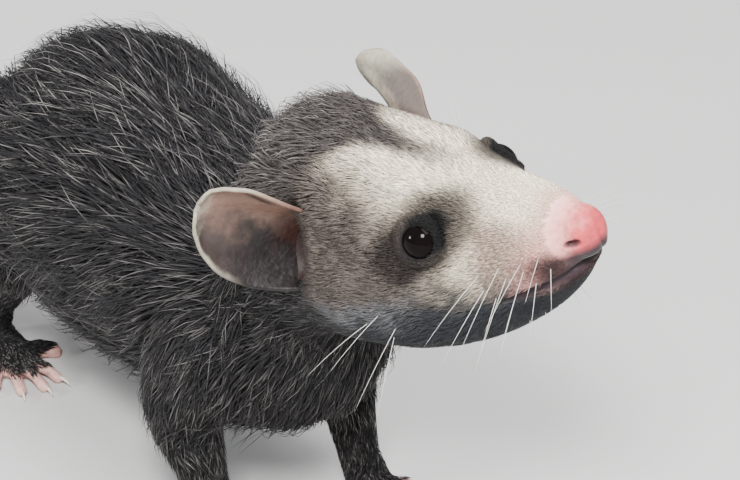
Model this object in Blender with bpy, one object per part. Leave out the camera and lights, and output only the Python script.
"""A young Virginia opossum, about three months old, standing on all fours with its head raised and tilted.

Metres, +Z up. The animal faces -Y, so its left side is +X, and the floor it stands on is Z = 0.
"""

import math
import random

import bmesh
import bpy
import numpy as np
from mathutils import Matrix, Vector

for old in list(bpy.data.objects):
    bpy.data.objects.remove(old)

MM = 0.001
GAP = 0.3 * MM
FLAT_ANGLE = math.radians(1.0)

# The head has its own frame: x forwards from the back of the skull, y to the left, z up, in millimetres.
HEAD_ORIGIN = Vector((0, -56, 70)) * MM
HEAD_YAW = math.radians(14)
HEAD_PITCH = math.radians(21)
HEAD_ROLL = math.radians(19)
# Each row: distance from the back of the skull, half width, top, widest level, bottom.
HEAD_SECTIONS = (
    (2.0, 18.4, 20.4, -1.0, -18.0),
    (14.0, 19.6, 21.0, -3.5, -20.6),
    (23.0, 19.0, 19.0, -5.0, -22.6),
    (31.0, 16.8, 15.4, -6.4, -22.8),
    (39.0, 13.6, 11.4, -7.2, -21.6),
    (46.0, 10.9, 8.3, -7.2, -19.4),
    (52.0, 9.0, 5.9, -6.6, -16.9),
    (56.5, 7.4, 3.9, -5.8, -14.0),
    (59.5, 5.9, 2.3, -5.0, -11.2),
    (61.6, 3.6, 0.6, -4.2, -8.0),
)
HEAD_RINGS = 18
# Above 1, the rings stand closer together over the muzzle, where the shape changes fastest.
MUZZLE_CROWDING = 1.25

# Trunk, along Y from the chest to the root of the tail. Each row: Y, half width, top, widest level, bottom.
TRUNK_SECTIONS = (
    (-42, 22.0, 66.0, 43.0, 21.0),
    (-28, 25.0, 68.5, 42.0, 18.0),
    (-10, 26.0, 70.5, 41.5, 16.5),
    (12, 27.5, 74.0, 41.0, 15.0),
    (32, 28.0, 75.0, 42.0, 16.0),
    (48, 23.5, 69.0, 43.0, 21.0),
    (60, 15.0, 58.0, 42.5, 29.0),
    (70, 7.2, 48.5, 41.5, 34.5),
)
TRUNK_RINGS = 15
NECK_RINGS = 5
# How far the neck runs straight on from the chest and the skull, at the throat and at the nape.
THROAT_BOW = 15
NAPE_BOW = 4
SIDES = 24
ROUNDNESS = 2.15

EYE_RADIUS = 3.9
EYE_FRONT = Vector((37.5, 14.0, 4.3))
EYE_FACING = Vector((0.42, 0.84, 0.35)).normalized()
LID_OPENING = 3.4
LID_THICKNESS = 0.85

NOSE_MIDDLE = Vector((60.8, 0, -3.7))
NOSE_SIZE = Vector((4.9, 4.5, 4.8))
NOSTRIL = Vector((63.6, 3.5, -4.6))
NOSTRIL_SIZE = Vector((1.9, 1.3, 1.1))

# The line of the mouth, seen from the side: distance from the back of the skull and level.
MOUTH_LINE = ((68, -8.4), (61, -8.8), (55, -9.8), (49, -10.8), (43.5, -10.8), (40.5, -10.0))
JAW_FLOOR = -34
JAW_BACK = 30
JAW_HALF_WIDTH = 25
# The lips run along that line from one corner to the other. Their front is where the line leaves the head.
LIP_BACK = 41.5
LIP_FRONT = 60.0
LIP_MIDDLE = (60.7, -8.9)
LIP_RADIUS = 0.9
LIP_CORNER = 0.5
LIP_STEPS = 9
LIP_SIDES = 6

# Each ear: where it grows, the way it points, the way its cup faces, the curl of its tip, half its width.
EARS = {
    "ear_right": (Vector((12, -16, 4)), Vector((-0.34, -0.62, 0.70)), Vector((0.66, -0.57, -0.19)), 2.5, 9.2),
    "ear_left": (Vector((22.5, 12, 8)), Vector((-0.62, 0.46, 0.60)), Vector((0.22, 0.85, -0.25)), 5.0, 8.2),
}
EAR_LENGTH = 22.0
EAR_THICKNESS = 0.8
EAR_SINK = 5.0
EAR_ROWS = 11
EAR_COLUMNS = 10
# Along an ear: share of its length, share of its width, half the angle that its cup wraps.
EAR_OUTLINE = (
    (0.0, 0.78, 80),
    (0.25, 0.94, 62),
    (0.5, 1.0, 46),
    (0.75, 0.93, 32),
    (0.92, 0.62, 22),
    (1.0, 0.22, 14),
)

# Legs of the animal's left side: points down the limb, with half its width and half its depth, both level.
FORELEG = (
    ((12.0, -35, 56), 3.5, 5.0),
    ((15.0, -34, 47), 8.0, 11.5),
    ((18.0, -31, 36), 8.2, 11.5),
    ((18.5, -27, 25), 6.4, 8.2),
    ((18.0, -31, 16), 4.8, 5.8),
    ((17.5, -35.5, 8.0), 3.7, 4.2),
)
HINDLEG = (
    ((12.0, 44, 60), 4.5, 7.0),
    ((16.0, 43, 50), 9.5, 14.5),
    ((18.5, 41, 38), 10.5, 15.5),
    ((21.0, 36, 27), 8.6, 12.5),
    ((21.0, 41, 18), 5.8, 8.2),
    ((20.5, 47.0, 10.0), 4.2, 5.2),
)
LIMB_SIDES = 10
LIMB_RINGS = 7
STRIDE = {"foreleg_right": -5, "hindleg_right": 6}

# A digit: where it leaves the palm, its heading from straight ahead, its length and its radius.
FORE_DIGITS = (
    ((-3.4, -1.5), -52, 7.2, 1.15),
    ((-2.2, -3.6), -24, 8.4, 1.2),
    ((0.2, -4.4), 2, 8.8, 1.2),
    ((2.6, -3.6), 27, 8.2, 1.2),
    ((3.8, -1.2), 58, 7.0, 1.15),
)
HIND_DIGITS = (
    ((-2.6, -9.0), -20, 8.6, 1.3),
    ((-0.3, -10.0), -5, 9.4, 1.3),
    ((2.2, -9.6), 12, 9.2, 1.3),
    ((4.2, -7.6), 32, 8.0, 1.25),
)
HALLUX = ((-3.6, -4.0), -82, 7.4, 1.9)
DIGIT_SIDES = 5
# Along a digit: share of its length, level of its middle, size against its radius.
DIGIT_PROFILE = ((-0.25, 1.5, 1.1), (0.2, 2.2, 1.0), (0.55, 1.8, 0.92), (0.9, 1.0, 0.95))
DIGIT_TIP = (0.3, 0.7)
CLAW_LENGTH = 2.6
# Along a claw: share of its length, level and radius.
CLAW_PROFILE = ((-0.5, 1.1, 0.5), (0.35, 1.45, 0.45))
CLAW_SIDES = 4
CLAW_TIP_LEVEL = 0.25
# From the wrist along a hand: distance behind the palm's middle, level, half width, half thickness, lean.
PALM_MIDDLE = (18.0, -39.5)
PALM_SECTIONS = (
    (1.6, 4.6, 4.2, 3.6, 30),
    (0.0, 2.2, 4.9, 3.0, 0),
    (-3.4, 1.4, 4.9, 1.9, 0),
    (-5.6, 1.2, 3.6, 1.4, 0),
)
# From the heel along a sole: distance behind its middle, level, half width, half thickness.
SOLE_MIDDLE = (20.5, 42.0)
SOLE_SECTIONS = (
    (10.0, 2.6, 2.4, 2.4),
    (8.0, 3.0, 3.9, 3.4),
    (3.0, 3.2, 4.4, 3.6),
    (-4.0, 2.4, 5.2, 2.9),
    (-9.0, 1.6, 5.0, 2.2),
    (-11.5, 1.3, 3.6, 1.5),
)
# Below the ankle: distance down and size against the ankle.
ANKLE_SECTIONS = ((2.5, 0.98), (5.5, 0.8))

# The coat, in millimetres. The core of a hairy part lies under the tips by its coat's depth.
TRUNK_COAT = 4.2
LIMB_COAT = 2.6
LOCK_LENGTH = 26
LOCK_WIDTH = 15
LOCK_THICKNESS = 1.8
# Along a lock: share of the way from the core to the tips, share of its width and of its thickness.
LOCK_SHAPE = ((-0.45, 0.6, 1.0), (0.5, 1.0, 1.0), (0.95, 0.8, 0.6))
LOCK_TIP = 1.15
# Corners of a ring that a lock drops towards the belly, and how much each lock differs from the next.
LOCK_FALL = 0.35
FALL_VARIES = 0.12
COLUMN_VARIES = 0.25
ROW_VARIES = 0.3
SIZE_VARIES = (0.8, 1.15)
TRUNK_LOCK_ROWS = 7
LAST_LOCK_ROW = 2.4
NAPE_LOCK_ROWS = 2
TRUNK_LOCKS_ROUND = 9
CREST_LOCKS_ROUND = 22
THIGH_LOCK_ROW = 2.4
THIGH_LOCKS_ROUND = 6
EAR_CLEARANCE = 12
LOCK_ROOM = 1.2
SHORT_COAT_RINGS = 4.5
# A crest of long hair stands on the skull, between the ears.
CREST_HEIGHT = 3.2
CREST_RINGS = 6
CREST_ROWS = 3
CREST_LOCK_LENGTH = 14
CREST_LOCK_WIDTH = 7
CREST_EDGE = 0.75
CREST_SLOPE = 0.15
LEG_CELL = 2.5
TRUNK_SEED = 7
NAPE_SEED = 8
CREST_SEED = 9
THIGH_SEED = 10

TAIL_PATH = (
    (0, 70.3, 41.5, 6.6),
    (0, 80, 38.5, 5.9),
    (-1, 92, 29, 5.3),
    (-3, 104, 17, 4.8),
    (-8, 117, 7, 4.3),
    (-17, 131, 3.9, 3.9),
    (-30, 144, 3.4, 3.5),
    (-46, 153, 3.0, 3.1),
    (-63, 155, 2.6, 2.7),
    (-77, 149, 2.2, 2.3),
    (-84, 138, 1.8, 1.8),
    (-83, 128, 1.2, 1.2),
)
TAIL_ROOT_SPAN = 36 * MM
TAIL_PARTS = 5
TAIL_RINGS_IN_PART = 7
TAIL_SIDES = 10


def mm(x, y, z):
    """A point given in millimetres."""
    return Vector((x, y, z)) * MM


def smooth_through(knots, values, at):
    """Values between the knots, on cubic arcs that pass through all of them."""
    knots = np.array(knots, float)
    values = np.array(values, float).reshape(len(knots), -1)
    slopes = np.gradient(values, knots, axis=0)
    result = []
    for x in at:
        i = int(np.clip(np.searchsorted(knots, x) - 1, 0, len(knots) - 2))
        span = knots[i + 1] - knots[i]
        t = (x - knots[i]) / span
        result.append(
            (1 + 2 * t) * (1 - t) ** 2 * values[i]
            + t * (1 - t) ** 2 * span * slopes[i]
            + t * t * (3 - 2 * t) * values[i + 1]
            + t * t * (t - 1) * span * slopes[i + 1]
        )
    return np.array(result)


def material(name, colour, roughness):
    """A Principled material, made once for each name."""
    made = bpy.data.materials.get(name)
    if made is None:
        made = bpy.data.materials.new(name)
        made.use_nodes = True
        made.diffuse_color = (*colour, 1)
        shader = made.node_tree.nodes["Principled BSDF"]
        shader.inputs["Base Color"].default_value = (*colour, 1)
        shader.inputs["Roughness"].default_value = roughness
    return made


FACE_FUR = ("face_fur", (0.62, 0.58, 0.52), 0.9)
BODY_FUR = ("body_fur", (0.13, 0.12, 0.12), 0.9)
LEG_FUR = ("leg_fur", (0.05, 0.045, 0.045), 0.9)
PINK_SKIN = ("pink_skin", (0.78, 0.42, 0.40), 0.5)
EAR_SKIN = ("ear_skin", (0.30, 0.22, 0.20), 0.6)
TAIL_SKIN = ("tail_skin", (0.42, 0.34, 0.32), 0.7)
EYE_BLACK = ("eye_black", (0.01, 0.01, 0.012), 0.05)


def object_from(name, mesh, finish):
    """Turns a bmesh into a named object whose faces point outwards."""
    bmesh.ops.recalc_face_normals(mesh, faces=mesh.faces[:])
    data = bpy.data.meshes.new(name)
    mesh.to_mesh(data)
    mesh.free()
    made = bpy.data.objects.new(name, data)
    bpy.context.scene.collection.objects.link(made)
    data.materials.append(material(*finish))
    data.shade_smooth()
    return made


def close_end(mesh, loop, tip):
    """Closes one end of a tube with triangles to a middle point."""
    middle = mesh.verts.new(tip)
    for a, b in zip(loop, loop[1:] + loop[:1]):
        mesh.faces.new((a, b, middle))


def tube(name, rings, finish, tips=(None, None)):
    """A closed tube through rings of points. A tip is a point that an end runs out to."""
    mesh = bmesh.new()
    loops = [[mesh.verts.new(p) for p in ring] for ring in rings]
    for near, far in zip(loops, loops[1:]):
        for i in range(len(near)):
            j = (i + 1) % len(near)
            mesh.faces.new((near[i], near[j], far[j]))
            mesh.faces.new((near[i], far[j], far[i]))
    for loop, tip in zip((loops[0], loops[-1]), tips):
        middle = sum((v.co for v in loop), Vector()) / len(loop)
        close_end(mesh, loop, middle if tip is None else tip)
    return object_from(name, mesh, finish)


def bulged(value, roundness):
    """A cosine or sine, squared off a little for fuller sections."""
    return math.copysign(abs(value) ** (2 / roundness), value)


def section(centre, side, up, half, top, bottom, sides=SIDES, roundness=ROUNDNESS):
    """One ring of a body: an oval with its own reach upwards and downwards."""
    points = []
    for i in range(sides):
        angle = 2 * math.pi * (i + 0.5) / sides
        across = half * bulged(math.cos(angle), roundness)
        rise = bulged(math.sin(angle), roundness)
        points.append(centre + side * across + up * rise * (top if rise > 0 else bottom))
    return points


def oval(centre, side, up, half, deep, sides):
    """One plain oval ring."""
    return section(centre, side, up, half, deep, deep, sides, 2.0)


def apply_boolean(target, pieces, operation):
    """Joins or cuts the target with the pieces, which are then removed."""
    group = bpy.data.collections.new("pieces")
    bpy.context.scene.collection.children.link(group)
    for piece in pieces:
        group.objects.link(piece)
    change = target.modifiers.new("change", "BOOLEAN")
    change.operand_type = "COLLECTION"
    change.collection = group
    change.operation = operation
    change.solver = "MANIFOLD"
    with bpy.context.temp_override(object=target, active_object=target):
        bpy.ops.object.modifier_apply(modifier=change.name)
    for piece in list(group.objects):
        bpy.data.objects.remove(piece)
    bpy.data.collections.remove(group)
    keep_largest(target)
    return target


def keep_largest(target):
    """Keeps the largest closed surface of an object and drops its loose scraps."""
    mesh = bmesh.new()
    mesh.from_mesh(target.data)
    unseen = set(mesh.verts)
    shells = []
    while unseen:
        queue = [unseen.pop()]
        shell = set(queue)
        while queue:
            for edge in queue.pop().link_edges:
                for vertex in edge.verts:
                    if vertex in unseen:
                        unseen.discard(vertex)
                        shell.add(vertex)
                        queue.append(vertex)
        shells.append(shell)
    shells.sort(key=len, reverse=True)
    scraps = [v for shell in shells[1:] for v in shell]
    bmesh.ops.delete(mesh, geom=scraps, context="VERTS")
    # A cut leaves many flat slivers, which are merged and split again into as few triangles as they need.
    bmesh.ops.dissolve_limit(mesh, angle_limit=FLAT_ANGLE, verts=mesh.verts[:], edges=mesh.edges[:])
    bmesh.ops.triangulate(mesh, faces=mesh.faces[:])
    mesh.to_mesh(target.data)
    mesh.free()


def head_matrix():
    """Carries the head's own frame, in millimetres, to where the head is held."""
    turn = (
        Matrix.Rotation(HEAD_YAW, 4, "Z")
        @ Matrix.Rotation(-HEAD_PITCH, 4, "X")
        @ Matrix.Rotation(-HEAD_ROLL, 4, "Y")
    )
    axes = Matrix(((0, 1, 0, 0), (-1, 0, 0, 0), (0, 0, 1, 0), (0, 0, 0, 1)))
    return Matrix.Translation(HEAD_ORIGIN) @ turn @ axes @ Matrix.Scale(MM, 4)


HEAD = head_matrix()
HEAD_FORWARD = (HEAD.to_3x3() @ Vector((1, 0, 0))).normalized()
HEAD_LEFT = (HEAD.to_3x3() @ Vector((0, 1, 0))).normalized()
HEAD_UP = (HEAD.to_3x3() @ Vector((0, 0, 1))).normalized()


def head_rings(grow=0.0):
    """Rings from the back of the skull to the upper lip."""
    rows = HEAD_SECTIONS
    shares = 1 - (1 - np.linspace(0, 1, HEAD_RINGS)) ** MUZZLE_CROWDING
    places = rows[0][0] + (rows[-1][0] - rows[0][0]) * shares
    sizes = smooth_through([r[0] for r in rows], [r[1:] for r in rows], places)
    return [
        section(
            HEAD @ Vector((x, 0, level)),
            HEAD_LEFT,
            HEAD_UP,
            half * MM + grow,
            (top - level) * MM + grow,
            (level - bottom) * MM + grow,
        )
        for x, (half, top, level, bottom) in zip(places, sizes)
    ]


def trunk_rings(grow=0.0):
    """Rings from the root of the tail to the chest."""
    rows = TRUNK_SECTIONS
    places = np.linspace(rows[-1][0], rows[0][0], TRUNK_RINGS)
    sizes = smooth_through([r[0] for r in rows], [r[1:] for r in rows], places)
    left, up = Vector((1, 0, 0)), Vector((0, 0, 1))
    return [
        section(
            mm(0, y, level),
            left,
            up,
            half * MM + grow,
            (top - level) * MM + grow,
            (level - bottom) * MM + grow,
        )
        for y, (half, top, level, bottom) in zip(places, sizes)
    ]


def corner_rise(corner):
    """How high a corner stands on its ring, from -1 at the bottom to 1 at the top."""
    return math.sin(2 * math.pi * (corner + 0.5) / SIDES)


def neck_rings(chest, skull):
    """Rings between the chest and the skull, on arcs that leave each of them square."""
    rings = []
    for i in range(1, NECK_RINGS + 1):
        t = i / (NECK_RINGS + 1)
        ring = []
        for k, (a, d) in enumerate(zip(chest, skull)):
            high = (1 + corner_rise(k)) / 2
            bow = (THROAT_BOW + (NAPE_BOW - THROAT_BOW) * high) * MM
            b = a - Vector((0, 1, 0)) * bow
            c = d - HEAD_FORWARD * bow
            ring.append(a * (1 - t) ** 3 + b * 3 * t * (1 - t) ** 2 + c * 3 * t * t * (1 - t) + d * t**3)
        rings.append(ring)
    return rings


def body_rings(grow=0.0):
    """The whole body in one row of rings, from the root of the tail to the upper lip."""
    trunk, head = trunk_rings(grow), head_rings(grow)
    return trunk + neck_rings(trunk[-1], head[0]) + head


def slab(name, middle, normal, reach=0.2, thickness=0.2):
    """A big block whose one face passes through a point, square to the normal, for parting the body."""
    turn = normal.to_track_quat("Z", "Y").to_matrix().to_4x4()
    mesh = bmesh.new()
    bmesh.ops.create_cube(mesh, size=1)
    place = Matrix.Translation(middle + normal * (thickness / 2)) @ turn
    bmesh.ops.transform(mesh, matrix=place @ Matrix.Diagonal((reach, reach, thickness, 1)), verts=mesh.verts)
    return object_from(name, mesh, BODY_FUR)


def ball(name, middle, size, turn, finish, columns=14, rows=9):
    """An oval ball; the middle and size are in metres."""
    mesh = bmesh.new()
    bmesh.ops.create_uvsphere(mesh, u_segments=columns, v_segments=rows, radius=1)
    place = Matrix.Translation(middle) @ turn.to_4x4() @ Matrix.Diagonal((*size, 1))
    bmesh.ops.transform(mesh, matrix=place, verts=mesh.verts)
    return object_from(name, mesh, finish)


def hoop(name, middle, normal, radius, thickness, finish, around=18, through=6):
    """A torus, for an eyelid."""
    side = normal.orthogonal().normalized()
    up = normal.cross(side)
    mesh = bmesh.new()
    loops = []
    for i in range(around):
        a = 2 * math.pi * i / around
        out = side * math.cos(a) + up * math.sin(a)
        loop = []
        for k in range(through):
            b = 2 * math.pi * k / through
            reach = out * (radius + thickness * math.cos(b))
            loop.append(mesh.verts.new(middle + reach + normal * thickness * math.sin(b)))
        loops.append(loop)
    for i in range(around):
        for k in range(through):
            a, b = loops[i], loops[(i + 1) % around]
            m = (k + 1) % through
            mesh.faces.new((a[k], a[m], b[m], b[k]))
    return object_from(name, mesh, finish)


def mirrored(point, sign):
    """A point of the left side, or its mirror image on the right."""
    return Vector((point[0], point[1] * sign, point[2]))


def eye_pose(sign):
    """Middle of an eyeball, the way it faces and the turn that points Z there, in the world."""
    middle = HEAD @ mirrored(EYE_FRONT - EYE_FACING * EYE_RADIUS, sign)
    facing = (HEAD.to_3x3() @ mirrored(EYE_FACING, sign)).normalized()
    return middle, facing, facing.to_track_quat("Z", "Y").to_matrix()


def eyes_and_lids():
    """Two eyeballs, and the lids that join the head."""
    lids = []
    rise = math.sqrt(EYE_RADIUS**2 - LID_OPENING**2) * MM
    for side, sign in (("left", 1), ("right", -1)):
        middle, facing, turn = eye_pose(sign)
        ball("eye_" + side, middle, Vector((1, 1, 1)) * EYE_RADIUS * MM, turn, EYE_BLACK)
        rim = middle + facing * rise
        lids.append(hoop("lid", rim, facing, LID_OPENING * MM, LID_THICKNESS * MM, FACE_FUR))
    return lids


def sockets():
    """Hollows that the eyeballs sit in."""
    size = Vector((1, 1, 1)) * (EYE_RADIUS * MM + GAP)
    made = []
    for sign in (1, -1):
        middle, _, turn = eye_pose(sign)
        made.append(ball("socket", middle, size, turn, FACE_FUR))
    return made


def lips():
    """A rounded edge along the line of the mouth, which the mouth parts into two lips."""
    xs = np.linspace(LIP_BACK, LIP_FRONT, LIP_STEPS)
    line = sorted(MOUTH_LINE)
    levels = np.interp(xs, [p[0] for p in line], [p[1] for p in line])
    sizes = smooth_through([r[0] for r in HEAD_SECTIONS], [r[1:] for r in HEAD_SECTIONS], xs)
    left = []
    for x, z, (half, _, level, bottom) in zip(xs, levels, sizes):
        sine = held((level - z) / (level - bottom)) ** (ROUNDNESS / 2)
        left.append(Vector((x, half * (1 - sine**2) ** (1 / ROUNDNESS), z)))
    front = Vector((LIP_MIDDLE[0], 0, LIP_MIDDLE[1]))
    path = left + [front] + [mirrored(p, -1) for p in reversed(left)]
    rings = []
    for i, point in enumerate(path):
        before, after = path[max(i - 1, 0)], path[min(i + 1, len(path) - 1)]
        along = (after - before).normalized()
        side = Vector((0, 0, 1)).cross(along).normalized()
        edge = min(i, len(path) - 1 - i) / LIP_STEPS
        radius = LIP_RADIUS * (LIP_CORNER + (1 - LIP_CORNER) * held(edge * 3))
        ring = oval(point, side, along.cross(side), radius, radius, LIP_SIDES)
        rings.append([HEAD @ p for p in ring])
    return tube("lips", rings, FACE_FUR)


def jaw_cell(grow):
    """A prism that holds the lower jaw, from the line of the mouth down."""
    outline = [Vector((x, 0, z + grow)) for x, z in MOUTH_LINE]
    outline.append(Vector((JAW_BACK - grow, 0, JAW_FLOOR)))
    outline.append(Vector((MOUTH_LINE[0][0], 0, JAW_FLOOR)))
    mesh = bmesh.new()
    reach = Vector((0, JAW_HALF_WIDTH, 0))
    left, right = ([mesh.verts.new(HEAD @ (p + r)) for p in outline] for r in (reach, -reach))
    mesh.faces.new(left)
    mesh.faces.new(right[::-1])
    for i in range(len(outline)):
        j = (i + 1) % len(outline)
        mesh.faces.new((left[i], right[i], right[j], left[j]))
    bmesh.ops.triangulate(mesh, faces=mesh.faces[:])
    return object_from("jaw_cell", mesh, FACE_FUR)


def nose():
    """The bare nose pad, with its two nostrils and the groove between them."""
    turn = Matrix((HEAD_FORWARD, HEAD_LEFT, HEAD_UP)).transposed()
    pad = ball("nose", HEAD @ NOSE_MIDDLE, NOSE_SIZE * MM, turn, PINK_SKIN, 16, 10)
    cutters = [tube("head_grown", head_rings(GAP), FACE_FUR)]
    for sign in (1, -1):
        middle = HEAD @ mirrored(NOSTRIL, sign)
        cutters.append(ball("nostril", middle, NOSTRIL_SIZE * MM, turn, PINK_SKIN, 8, 6))
    return apply_boolean(pad, cutters, "DIFFERENCE")


def ear(name):
    """A thin cupped ear, cut clear of the head that it grows from."""
    root, points, faces, curl, half_width = EARS[name]
    along = (HEAD.to_3x3() @ points).normalized()
    facing = HEAD.to_3x3() @ faces
    facing = (facing - along * facing.dot(along)).normalized()
    across = along.cross(facing)
    shares = np.linspace(-EAR_SINK / EAR_LENGTH, 1, EAR_ROWS)
    sizes = smooth_through([o[0] for o in EAR_OUTLINE], [o[1:] for o in EAR_OUTLINE], np.clip(shares, 0, 1))
    mesh = bmesh.new()
    grid = []
    for share, (width, wrap) in zip(shares, sizes):
        wrap = math.radians(wrap)
        radius = half_width * width / math.sin(wrap)
        row = []
        for k in range(EAR_COLUMNS + 1):
            angle = wrap * (2 * k / EAR_COLUMNS - 1)
            offset = across * radius * math.sin(angle)
            offset += facing * (radius * (math.cos(wrap) - math.cos(angle)) - curl * max(share, 0) ** 2)
            row.append(mesh.verts.new(HEAD @ root + (along * EAR_LENGTH * share + offset) * MM))
        grid.append(row)
    for near, far in zip(grid, grid[1:]):
        for k in range(EAR_COLUMNS):
            mesh.faces.new((near[k], near[k + 1], far[k + 1]))
            mesh.faces.new((near[k], far[k + 1], far[k]))
    made = object_from(name, mesh, EAR_SKIN)
    wall = made.modifiers.new("wall", "SOLIDIFY")
    wall.thickness = EAR_THICKNESS * MM
    wall.offset = 0
    with bpy.context.temp_override(object=made, active_object=made):
        bpy.ops.object.modifier_apply(modifier=wall.name)
    return apply_boolean(made, [tube("body_grown", body_rings(GAP), FACE_FUR)], "DIFFERENCE")


def limb_rings(rows, sign, shift, grow=0.0, count=LIMB_RINGS):
    """Level rings down a leg."""
    centres = np.array([r[0] for r in rows], float)
    steps = np.concatenate([[0], np.cumsum(np.linalg.norm(np.diff(centres, axis=0), axis=1))])
    values = np.hstack([centres, np.array([r[1:] for r in rows], float)])
    sampled = smooth_through(steps, values, np.linspace(0, steps[-1], count))
    side, back = Vector((1, 0, 0)), Vector((0, 1, 0))
    rings = []
    for x, y, z, half, deep in sampled:
        middle = mm(x * sign, y + shift, z)
        rings.append(oval(middle, side * sign, back, half * MM + grow, deep * MM + grow, LIMB_SIDES))
    return rings


def limbs():
    """Name, points down the limb, side and step of each leg."""
    for kind, rows in (("foreleg", FORELEG), ("hindleg", HINDLEG)):
        for side, sign in (("left", 1), ("right", -1)):
            name = f"{kind}_{side}"
            yield name, rows, sign, STRIDE.get(name, 0)


def leg_cell(rows, sign, shift, grow):
    """The room that a leg and its coat take up, run out past both of its ends."""
    rings = limb_rings(rows, sign, shift, LEG_CELL * MM + grow)
    rings[0] = [p + Vector((0, 0, 1)) * (LEG_CELL * MM + grow) for p in rings[0]]
    rings[-1] = [p - Vector((0, 0, 1)) * LEG_CELL * MM for p in rings[-1]]
    return tube("cell", rings, LEG_FUR)


def sunk(rings, depth_at):
    """The same rings drawn in towards their middles by the coat's depth at each corner, in millimetres."""
    result = []
    for i, ring in enumerate(rings):
        middle = sum(ring, Vector()) / len(ring)
        result.append([p + (middle - p).normalized() * depth_at(i, k) * MM for k, p in enumerate(ring)])
    return result


def held(value):
    """A share kept between 0 and 1."""
    return min(max(value, 0), 1)


def body_depth(ring, corner):
    """How deep the coat is: full on the trunk, none at the tail's root and on the skull."""
    from_skull = held((TRUNK_RINGS + NECK_RINGS - 0.5 - ring) / 1.5)
    return TRUNK_COAT * held(ring / 3) * from_skull


def crest_depth(ring, corner):
    """How far the crest lifts off the skull, as a depth below nothing."""
    on_skull = ring - TRUNK_RINGS - NECK_RINGS
    between_ears = held((corner_rise(corner) - CREST_EDGE) / CREST_SLOPE)
    return -CREST_HEIGHT * between_ears * held(1.2 - on_skull / CREST_RINGS)


def limb_depth(ring, corner):
    """How deep a leg's fur is, down to none at the foot."""
    return LIMB_COAT * (1 - ring / (LIMB_RINGS - 1))


def on_rings(rings, row, column):
    """A point between rings: row and column count the rings and their corners, with fractions."""
    row = min(max(row, 0), len(rings) - 1.001)
    i, j = math.floor(row), math.floor(column)
    sides = len(rings[0])
    near = rings[i][j % sides].lerp(rings[i][(j + 1) % sides], column - j)
    far = rings[i + 1][j % sides].lerp(rings[i + 1][(j + 1) % sides], column - j)
    return near.lerp(far, row - i)


def lock_path(outer, core, row, column, length, way, fall):
    """Points along a lock with the coat's direction there, walked over the surface in equal steps."""
    probe = 0.1
    step = length * MM / len(LOCK_SHAPE)
    path = []
    for height in [shape[0] for shape in LOCK_SHAPE] + [LOCK_TIP]:
        low, high = on_rings(core, row, column), on_rings(outer, row, column)
        path.append((low.lerp(high, height), (high - low).normalized()))
        row_size = (on_rings(outer, row + way * probe, column) - high).length / probe
        column_size = (on_rings(outer, row, column + probe) - high).length / probe
        row += way * step / max(row_size, MM)
        column += fall * step / max(column_size, MM)
    return path


def lock(path, width):
    """A flat lock of hair, widest a third of the way along, with its root sunk in the core."""
    mesh = bmesh.new()
    loops = []
    for i, (_, wide, thick) in enumerate(LOCK_SHAPE):
        point, outwards = path[i]
        along = (path[i + 1][0] - path[max(i - 1, 0)][0]).normalized()
        side = along.cross(outwards).normalized()
        rise = side.cross(along).normalized()
        reach, depth = side * width * wide * MM / 2, rise * LOCK_THICKNESS * thick * MM / 2
        loops.append([mesh.verts.new(point + offset) for offset in (reach, depth, -reach, -depth)])
    for near, far in zip(loops, loops[1:]):
        for i in range(4):
            j = (i + 1) % 4
            mesh.faces.new((near[i], near[j], far[j]))
            mesh.faces.new((near[i], far[j], far[i]))
    mesh.faces.new(loops[0][:3])
    mesh.faces.new((loops[0][2], loops[0][3], loops[0][0]))
    tip = mesh.verts.new(path[-1][0])
    for i in range(4):
        mesh.faces.new((loops[-1][i], loops[-1][(i + 1) % 4], tip))
    return object_from("lock", mesh, BODY_FUR)


def clear_of_ears(path):
    """Whether a lock keeps clear of both ears."""
    roots = [HEAD @ ear_values[0] for ear_values in EARS.values()]
    return all((point - root).length > EAR_CLEARANCE * MM for root in roots for point, _ in path)


def outside(path):
    """Whether a lock lies on the outer side of its thigh."""
    point, outwards = path[1]
    return outwards.x * point.x > 0


def coat_of(outer, core, rows, around, way, seed, keep, size=(LOCK_LENGTH, LOCK_WIDTH)):
    """Locks in staggered rows over a part, each a little different."""
    draw = random.Random(seed)
    made = []
    sides = len(outer[0])
    for k, row in enumerate(rows):
        for m in range(around):
            shift = draw.uniform(-COLUMN_VARIES, COLUMN_VARIES)
            column = (m + 0.5 * (k % 2) + shift) * sides / around
            place = row + draw.uniform(-ROW_VARIES, ROW_VARIES)
            length = size[0] * draw.uniform(*SIZE_VARIES)
            if way < 0:
                # Locks beside the tail's root are shorter, so that none runs past it.
                length *= held(place / SHORT_COAT_RINGS)
            width = size[1] * draw.uniform(*SIZE_VARIES)
            lie = math.cos(2 * math.pi * (column + 0.5) / sides)
            fall = -LOCK_FALL * lie + draw.uniform(-FALL_VARIES, FALL_VARIES)
            room = (on_rings(outer, place, column) - on_rings(core, place, column)).length
            if room < LOCK_ROOM * MM:
                continue
            path = lock_path(outer, core, place, column, length, way, fall)
            if keep(path):
                made.append(lock(path, width))
    return made


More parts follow.
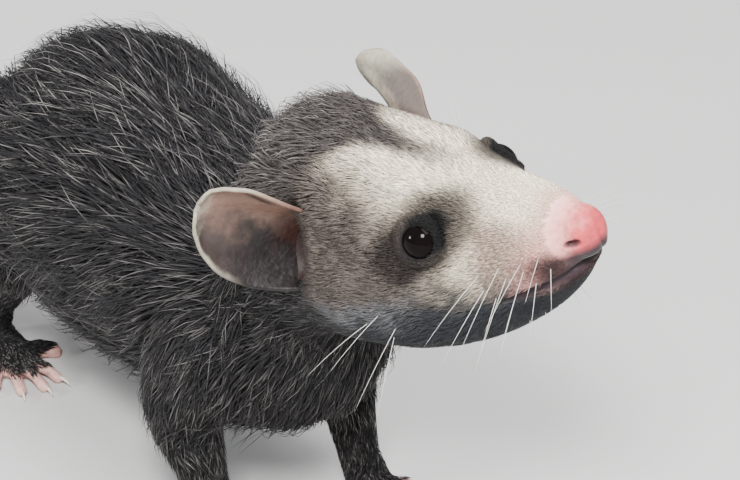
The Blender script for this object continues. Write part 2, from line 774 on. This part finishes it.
def whole_animal():
    """The body and legs down to wrists and ankles, in one piece with their coat."""
    outer = body_rings()
    core = sunk(outer, body_depth)
    chest = TRUNK_RINGS - 1
    trunk_rows = np.linspace(chest, LAST_LOCK_ROW, TRUNK_LOCK_ROWS)
    skull = TRUNK_RINGS + NECK_RINGS
    nape_rows = np.linspace(skull - 1.2, chest + 2, NAPE_LOCK_ROWS)
    crest_rows = np.linspace(skull + CREST_RINGS - 1, skull + 0.5, CREST_ROWS)
    crest = sunk(outer, crest_depth)
    locks = coat_of(outer, core, trunk_rows, TRUNK_LOCKS_ROUND, -1, TRUNK_SEED, clear_of_ears)
    locks += coat_of(outer, core, nape_rows, TRUNK_LOCKS_ROUND, -1, NAPE_SEED, clear_of_ears)
    small = (CREST_LOCK_LENGTH, CREST_LOCK_WIDTH)
    locks += coat_of(crest, outer, crest_rows, CREST_LOCKS_ROUND, -1, CREST_SEED, clear_of_ears, small)
    made = tube("whole", core, BODY_FUR)
    pieces = [lips()]
    for name, rows, sign, shift in limbs():
        leg_outer = limb_rings(rows, sign, shift)
        leg_core = sunk(leg_outer, limb_depth)
        pieces.append(tube(name + "_core", leg_core, LEG_FUR))
        if name.startswith("hindleg"):
            row = [THIGH_LOCK_ROW]
            pieces += coat_of(leg_outer, leg_core, row, THIGH_LOCKS_ROUND, 1, THIGH_SEED, outside)
    return apply_boolean(made, pieces + locks, "UNION")


def digit(start, heading, length, radius, sign, place, clawed=True):
    """A toe that arches a little and comes down flat, with its claw."""
    heading = math.radians(heading)
    ahead = Vector((math.sin(heading) * sign, -math.cos(heading), 0))
    side, up = Vector((-ahead.y, ahead.x, 0)), Vector((0, 0, 1))
    root = place + mm(start[0] * sign, start[1], 0)
    rings = []
    for share, level, size in DIGIT_PROFILE:
        middle = root + (ahead * length * share + up * level) * MM
        rings.append(oval(middle, side, up, radius * size * MM, radius * size * MM, DIGIT_SIDES))
    rounding, level = DIGIT_TIP
    tip = root + (ahead * (length + radius * rounding) + up * level) * MM
    pieces = [tube("digit", rings, PINK_SKIN, (None, tip))]
    if clawed:
        rings = []
        for share, level, size in CLAW_PROFILE:
            middle = root + (ahead * (length + CLAW_LENGTH * share) + up * level) * MM
            rings.append(oval(middle, side, up, size * MM, size * MM, CLAW_SIDES))
        tip = root + (ahead * (length + CLAW_LENGTH) + up * CLAW_TIP_LEVEL) * MM
        pieces.append(tube("claw", rings, PINK_SKIN, (None, tip)))
    return pieces


def floor_cut(foot):
    """Takes off what would reach below the floor, which leaves flat soles."""
    return apply_boolean(foot, [slab("floor", Vector(), Vector((0, 0, -1)))], "DIFFERENCE")


def forefoot(name, sign):
    """A hand of five spread digits below the wrist."""
    shift = STRIDE.get(name.replace("foot", "leg"), 0)
    side = Vector((sign, 0, 0))
    x, y = PALM_MIDDLE
    palm = mm(x * sign, y + shift, 0)
    rings = [[p - Vector((0, 0, GAP)) for p in limb_rings(FORELEG, sign, shift)[-1]]]
    for back, level, half, tall, lean in PALM_SECTIONS:
        lean = math.radians(lean)
        under = Vector((0, math.sin(lean), -math.cos(lean)))
        rings.append(oval(palm + mm(0, back, level), side, under, half * MM, tall * MM, LIMB_SIDES))
    foot = tube(name, rings, PINK_SKIN)
    apply_boolean(foot, [p for row in FORE_DIGITS for p in digit(*row, sign, palm)], "UNION")
    return floor_cut(foot)


def hindfoot(name, sign):
    """A long sole with four clawed toes and a thumb that stands off to the inside."""
    shift = STRIDE.get(name.replace("foot", "leg"), 0)
    side, up = Vector((sign, 0, 0)), Vector((0, 0, 1))
    x, y = SOLE_MIDDLE
    sole = mm(x * sign, y + shift, 0)
    first = [p - up * GAP for p in limb_rings(HINDLEG, sign, shift)[-1]]
    middle = sum(first, Vector()) / LIMB_SIDES
    stem = [first]
    for drop, size in ANKLE_SECTIONS:
        stem.append([middle + (p - middle) * size - up * drop * MM for p in first])
    foot = tube(name, stem, PINK_SKIN)
    rings = []
    for back, level, half, tall in SOLE_SECTIONS:
        rings.append(oval(sole + mm(0, back, level), side, up, half * MM, tall * MM, LIMB_SIDES))
    pieces = [tube("sole", rings, PINK_SKIN)]
    pieces += [p for row in HIND_DIGITS for p in digit(*row, sign, sole)]
    pieces += digit(*HALLUX, sign, sole, clawed=False)
    apply_boolean(foot, pieces, "UNION")
    return floor_cut(foot)


def tail():
    """The long bare tail in a few lengths, which comes down and lies along the floor."""
    rows = np.array(TAIL_PATH, float)
    steps = np.concatenate([[0], np.cumsum(np.linalg.norm(np.diff(rows[:, :3], axis=0), axis=1))])
    length = steps[-1]
    for part in range(TAIL_PARTS):
        start = length * part / TAIL_PARTS + (GAP / MM if part else 0)
        places = np.linspace(start, length * (part + 1) / TAIL_PARTS, TAIL_RINGS_IN_PART)
        sizes = smooth_through(steps, rows, places)
        ways = tail_direction(steps, rows, places, length)
        rings = []
        for (x, y, z, radius), way in zip(sizes, ways):
            along = Vector(way).normalized()
            side = Vector((0, 0, 1)).cross(along).normalized()
            ring = oval(mm(x, y, z), side, along.cross(side), radius * MM, radius * MM, TAIL_SIDES)
            # The underside lies flat on the floor.
            rings.append([Vector((p.x, p.y, max(p.z, 0))) for p in ring])
        tip = None
        if part == TAIL_PARTS - 1:
            tip = sum(rings[-1], Vector()) / TAIL_SIDES + along * radius * MM
        tube(f"tail_{part + 1}", rings, TAIL_SKIN, (None, tip))


def tail_direction(steps, rows, places, length):
    """The way that the tail runs at each place along it."""
    step = 0.5
    before = smooth_through(steps, rows, np.clip(places - step, 0, length))
    after = smooth_through(steps, rows, np.clip(places + step, 0, length))
    return (after - before)[:, :3]


def feet():
    """Two hands and two hind feet."""
    for side, sign in (("left", 1), ("right", -1)):
        forefoot("forefoot_" + side, sign)
        hindfoot("hindfoot_" + side, sign)


def copied(whole, name, finish):
    """A copy of the whole animal, to be cut down to one part."""
    made = bpy.data.objects.new(name, whole.data.copy())
    made.data.materials.clear()
    made.data.materials.append(material(*finish))
    bpy.context.scene.collection.objects.link(made)
    return made


def ring_plane(ring):
    """Middle of a ring and its normal, towards the nose."""
    middle = sum(ring, Vector()) / len(ring)
    quarter = len(ring) // 4
    normal = (ring[quarter] - middle).cross(ring[0] - middle).normalized()
    return middle, (normal if normal.dot(HEAD_FORWARD) > 0 else -normal)


def body_parts():
    """Torso, neck, head, jaw and legs, parted from the whole animal with thin gaps between them."""
    whole = whole_animal()
    rings = body_rings()
    chest, chest_way = ring_plane(rings[TRUNK_RINGS - 1])
    skull, skull_way = ring_plane(rings[TRUNK_RINGS + NECK_RINGS])
    half = GAP / 2
    tail_start = mm(*TAIL_PATH[0][:3])
    tail_way = (mm(*TAIL_PATH[1][:3]) - tail_start).normalized()

    def leg_room():
        return [leg_cell(rows, sign, shift, GAP) for _, rows, sign, shift in limbs()]

    torso = copied(whole, "torso", BODY_FUR)
    front = slab("front", chest - chest_way * half, chest_way)
    tail_room = slab("tail_room", tail_start - tail_way * GAP, tail_way, TAIL_ROOT_SPAN, TAIL_ROOT_SPAN)
    apply_boolean(torso, [front, tail_room] + leg_room(), "DIFFERENCE")
    neck = copied(whole, "neck", BODY_FUR)
    back = slab("back", chest + chest_way * half, -chest_way)
    front = slab("front", skull - skull_way * half, skull_way)
    apply_boolean(neck, [back, front] + leg_room(), "DIFFERENCE")
    head = copied(whole, "head", FACE_FUR)
    apply_boolean(head, eyes_and_lids(), "UNION")
    back = slab("back", skull + skull_way * half, -skull_way)
    apply_boolean(head, [back, jaw_cell(GAP / MM)] + sockets(), "DIFFERENCE")
    apply_boolean(copied(whole, "jaw", FACE_FUR), [jaw_cell(0)], "INTERSECT")
    for name, rows, sign, shift in limbs():
        apply_boolean(copied(whole, name, LEG_FUR), [leg_cell(rows, sign, shift, 0)], "INTERSECT")
    bpy.data.objects.remove(whole)


def centre_on_floor():
    """Moves the whole animal so that the middle of the floor it covers is the origin."""
    pieces = bpy.data.objects[:]
    points = np.array([v.co for piece in pieces for v in piece.data.vertices])
    low, high = points.min(axis=0), points.max(axis=0)
    shift = Vector((-(low[0] + high[0]) / 2, -(low[1] + high[1]) / 2, -low[2]))
    for piece in pieces:
        piece.data.transform(Matrix.Translation(shift))
    print("moved by", [round(x / MM, 2) for x in shift], "mm")


body_parts()
nose()
ear("ear_left")
ear("ear_right")
feet()
tail()
centre_on_floor()
